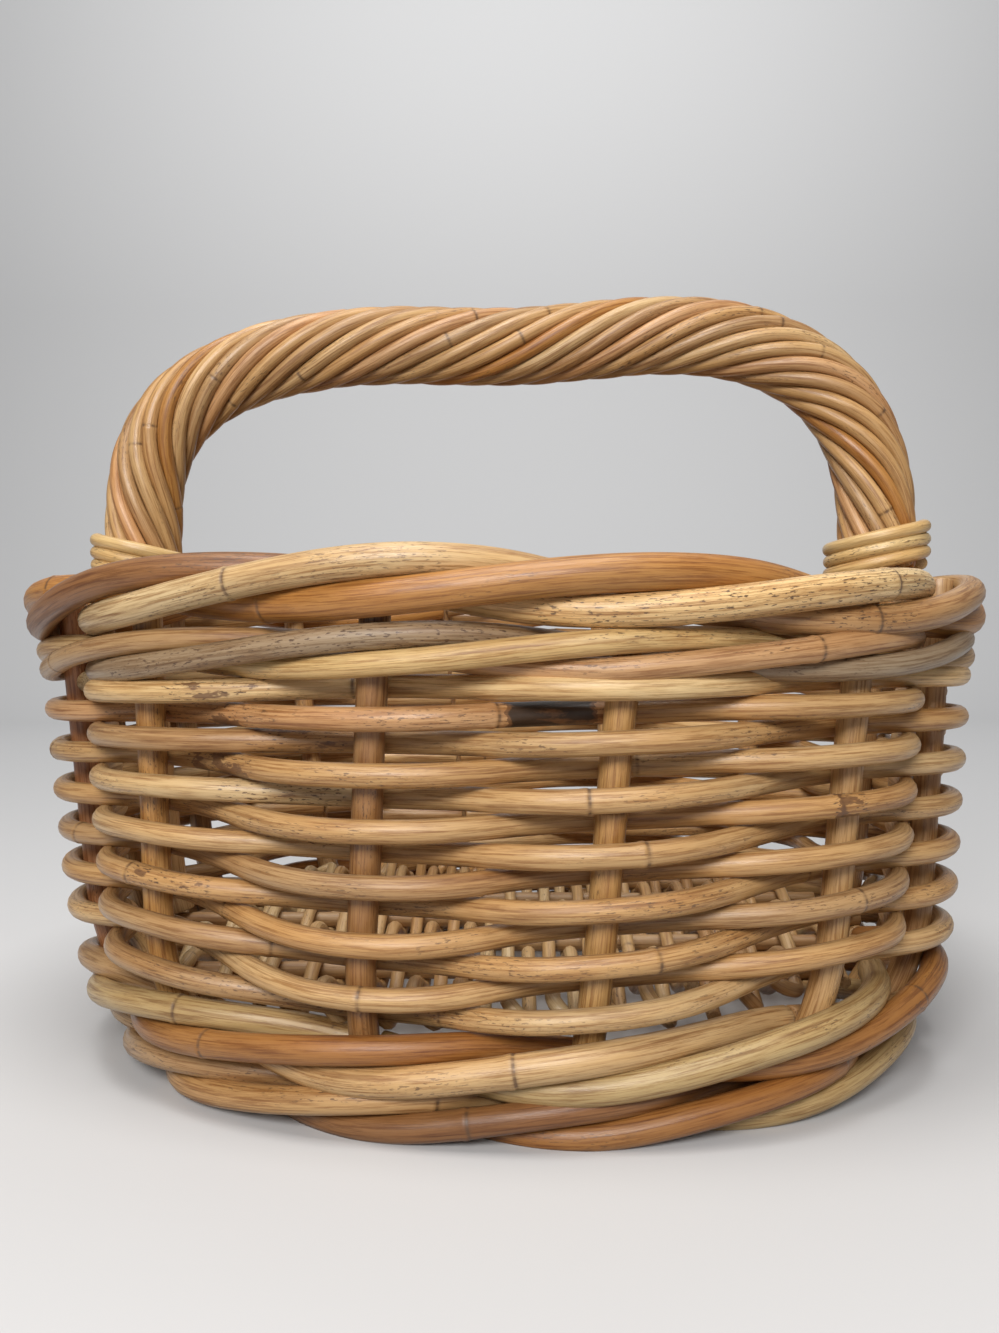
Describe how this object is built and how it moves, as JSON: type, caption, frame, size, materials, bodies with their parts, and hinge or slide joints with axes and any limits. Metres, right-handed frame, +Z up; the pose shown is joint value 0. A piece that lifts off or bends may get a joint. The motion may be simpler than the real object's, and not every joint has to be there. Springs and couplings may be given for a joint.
{
  "type": "basket",
  "caption": "Oval open basket woven from round rattan rods, with a thick twisted border and a fixed rope-twisted bow handle",
  "frame": {"origin": "on the surface that the basket stands on, below the middle of its bounding box", "axes": "+X along the basket's long side, to the right seen from the front; -Y is the front; +Z is up"},
  "size_m": [0.3814, 0.3232, 0.2978],
  "materials": {
    "stake_rattan": "lacquered round rattan, honey brown",
    "side_rattan": "lacquered round rattan, honey to cream",
    "band_rattan": "lacquered round rattan, straw, orange and grey",
    "border_rattan": "lacquered thick round rattan, orange to cream",
    "floor_rattan": "plain thin round rattan, cream",
    "handle_rattan": "lacquered thin round rattan, honey",
    "lashing_rattan": "lacquered thin round rattan, straw"
  },
  "bodies": {
    "root": {"stake_01": "stake_rattan", "stake_02": "stake_rattan", "stake_03": "stake_rattan", "stake_04": "stake_rattan", "stake_05": "stake_rattan", "stake_06": "stake_rattan", "stake_07": "stake_rattan", "stake_08": "stake_rattan", "stake_09": "stake_rattan", "stake_10": "stake_rattan", "stake_11": "stake_rattan", "stake_12": "stake_rattan", "stake_13": "stake_rattan", "stake_14": "stake_rattan", "side_rod_01": "side_rattan", "side_rod_02": "side_rattan", "side_rod_03": "side_rattan", "side_rod_04": "side_rattan", "side_rod_05": "side_rattan", "side_rod_06": "side_rattan", "side_rod_07": "side_rattan", "side_rod_08": "side_rattan", "side_rod_09": "side_rattan", "side_rod_10": "side_rattan", "side_rod_11": "side_rattan", "side_rod_12": "side_rattan", "side_rod_13": "side_rattan", "foot_rod_1": "band_rattan", "foot_rod_2": "band_rattan", "foot_rod_3": "band_rattan", "lower_band_rod_1": "band_rattan", "lower_band_rod_2": "band_rattan", "lower_band_rod_3": "band_rattan", "upper_band_rod_1": "band_rattan", "upper_band_rod_2": "band_rattan", "upper_band_rod_3": "band_rattan", "border_rod_1": "border_rattan", "border_rod_2": "border_rattan", "border_rod_3": "border_rattan", "floor_stick_1": "floor_rattan", "floor_stick_2": "floor_rattan", "floor_stick_3": "floor_rattan", "floor_stick_4": "floor_rattan", "floor_stick_5": "floor_rattan", "floor_weaving_rod": "floor_rattan", "handle_core": "handle_rattan", "handle_rod_01": "handle_rattan", "handle_rod_02": "handle_rattan", "handle_rod_03": "handle_rattan", "handle_rod_04": "handle_rattan", "handle_rod_05": "handle_rattan", "handle_rod_06": "handle_rattan", "handle_rod_07": "handle_rattan", "handle_rod_08": "handle_rattan", "handle_rod_09": "handle_rattan", "handle_rod_10": "handle_rattan", "handle_rod_11": "handle_rattan", "handle_rod_12": "handle_rattan", "lashing_left": "lashing_rattan", "lashing_right": "lashing_rattan"}
  },
  "joints": []
}
